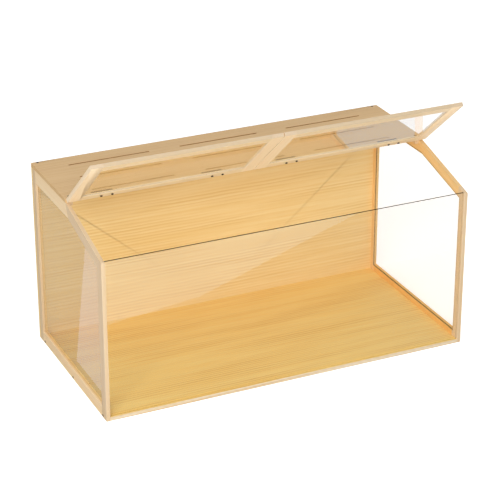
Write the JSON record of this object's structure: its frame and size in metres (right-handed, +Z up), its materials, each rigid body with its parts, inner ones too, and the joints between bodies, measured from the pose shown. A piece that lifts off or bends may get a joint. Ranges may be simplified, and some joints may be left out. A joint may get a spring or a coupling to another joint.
{
  "type": "wooden hamster cage",
  "caption": "Long wooden small-animal cage with clear panes, a slotted top panel and two framed clear doors that turn up from a sloping front half of the roof.",
  "frame": {"origin": "on the ground, under the middle of the cage", "axes": "+X runs along the cage to its right, +Y runs from the glazed front to the back panel, +Z is up"},
  "size_m": [1, 0.496, 0.6595],
  "materials": {
    "board_wood": "plain sanded softwood with fine grain along the length",
    "frame_wood": "plain sanded softwood",
    "door_wood": "plain sanded pale softwood",
    "acrylic": "clear polished acrylic sheet",
    "dark_bronze": "dark bronze plated steel",
    "screw_steel": "dark burnished steel",
    "dowel_wood": "plain beech dowel"
  },
  "bodies": {
    "cage": {"floor_panel": "board_wood", "back_panel": "board_wood", "top_panel": "board_wood", "left_top_cleat": "frame_wood", "right_top_cleat": "frame_wood", "left_front_post": "frame_wood", "left_back_post": "frame_wood", "left_bottom_rail": "frame_wood", "left_top_rail": "frame_wood", "left_sloping_rail": "frame_wood", "right_front_post": "frame_wood", "right_back_post": "frame_wood", "right_bottom_rail": "frame_wood", "right_top_rail": "frame_wood", "right_sloping_rail": "frame_wood", "left_side_pane": "acrylic", "right_side_pane": "acrylic", "front_pane": "acrylic", "left_outer_hinge_fixed_leaf": "dark_bronze", "left_outer_hinge_pin": "dark_bronze", "left_inner_hinge_fixed_leaf": "dark_bronze", "left_inner_hinge_pin": "dark_bronze", "right_inner_hinge_fixed_leaf": "dark_bronze", "right_inner_hinge_pin": "dark_bronze", "right_outer_hinge_fixed_leaf": "dark_bronze", "right_outer_hinge_pin": "dark_bronze", "left_floor_screws": "screw_steel", "right_floor_screws": "screw_steel", "top_panel_screws": "screw_steel", "back_panel_screws": "screw_steel", "left_hinge_screws": "screw_steel", "right_hinge_screws": "screw_steel", "left_frame_dowels": "dowel_wood", "right_frame_dowels": "dowel_wood"},
    "left_door": {"left_door_hinge_rail": "door_wood", "left_door_free_rail": "door_wood", "left_door_outer_stile": "door_wood", "left_door_inner_stile": "door_wood", "left_door_pane": "acrylic", "left_outer_hinge_moving_leaf": "dark_bronze", "left_inner_hinge_moving_leaf": "dark_bronze", "left_door_bolts": "screw_steel", "left_door_nuts": "screw_steel", "left_door_dowels": "dowel_wood"},
    "right_door": {"right_door_hinge_rail": "door_wood", "right_door_free_rail": "door_wood", "right_door_outer_stile": "door_wood", "right_door_inner_stile": "door_wood", "right_door_pane": "acrylic", "right_inner_hinge_moving_leaf": "dark_bronze", "right_outer_hinge_moving_leaf": "dark_bronze", "right_door_bolts": "screw_steel", "right_door_nuts": "screw_steel", "right_door_dowels": "dowel_wood"}
  },
  "joints": [
    {"name": "left_door_hinge", "type": "hinge", "parent": "cage", "child": "left_door", "pos_m": [-0.25, -0.01165, 0.503], "axis": [-1, 0, 0], "range_deg": [-54.9, 139]},
    {"name": "right_door_hinge", "type": "hinge", "parent": "cage", "child": "right_door", "pos_m": [0.25, -0.01165, 0.503], "axis": [-1, 0, 0], "range_deg": [-54.9, 139]}
  ]
}
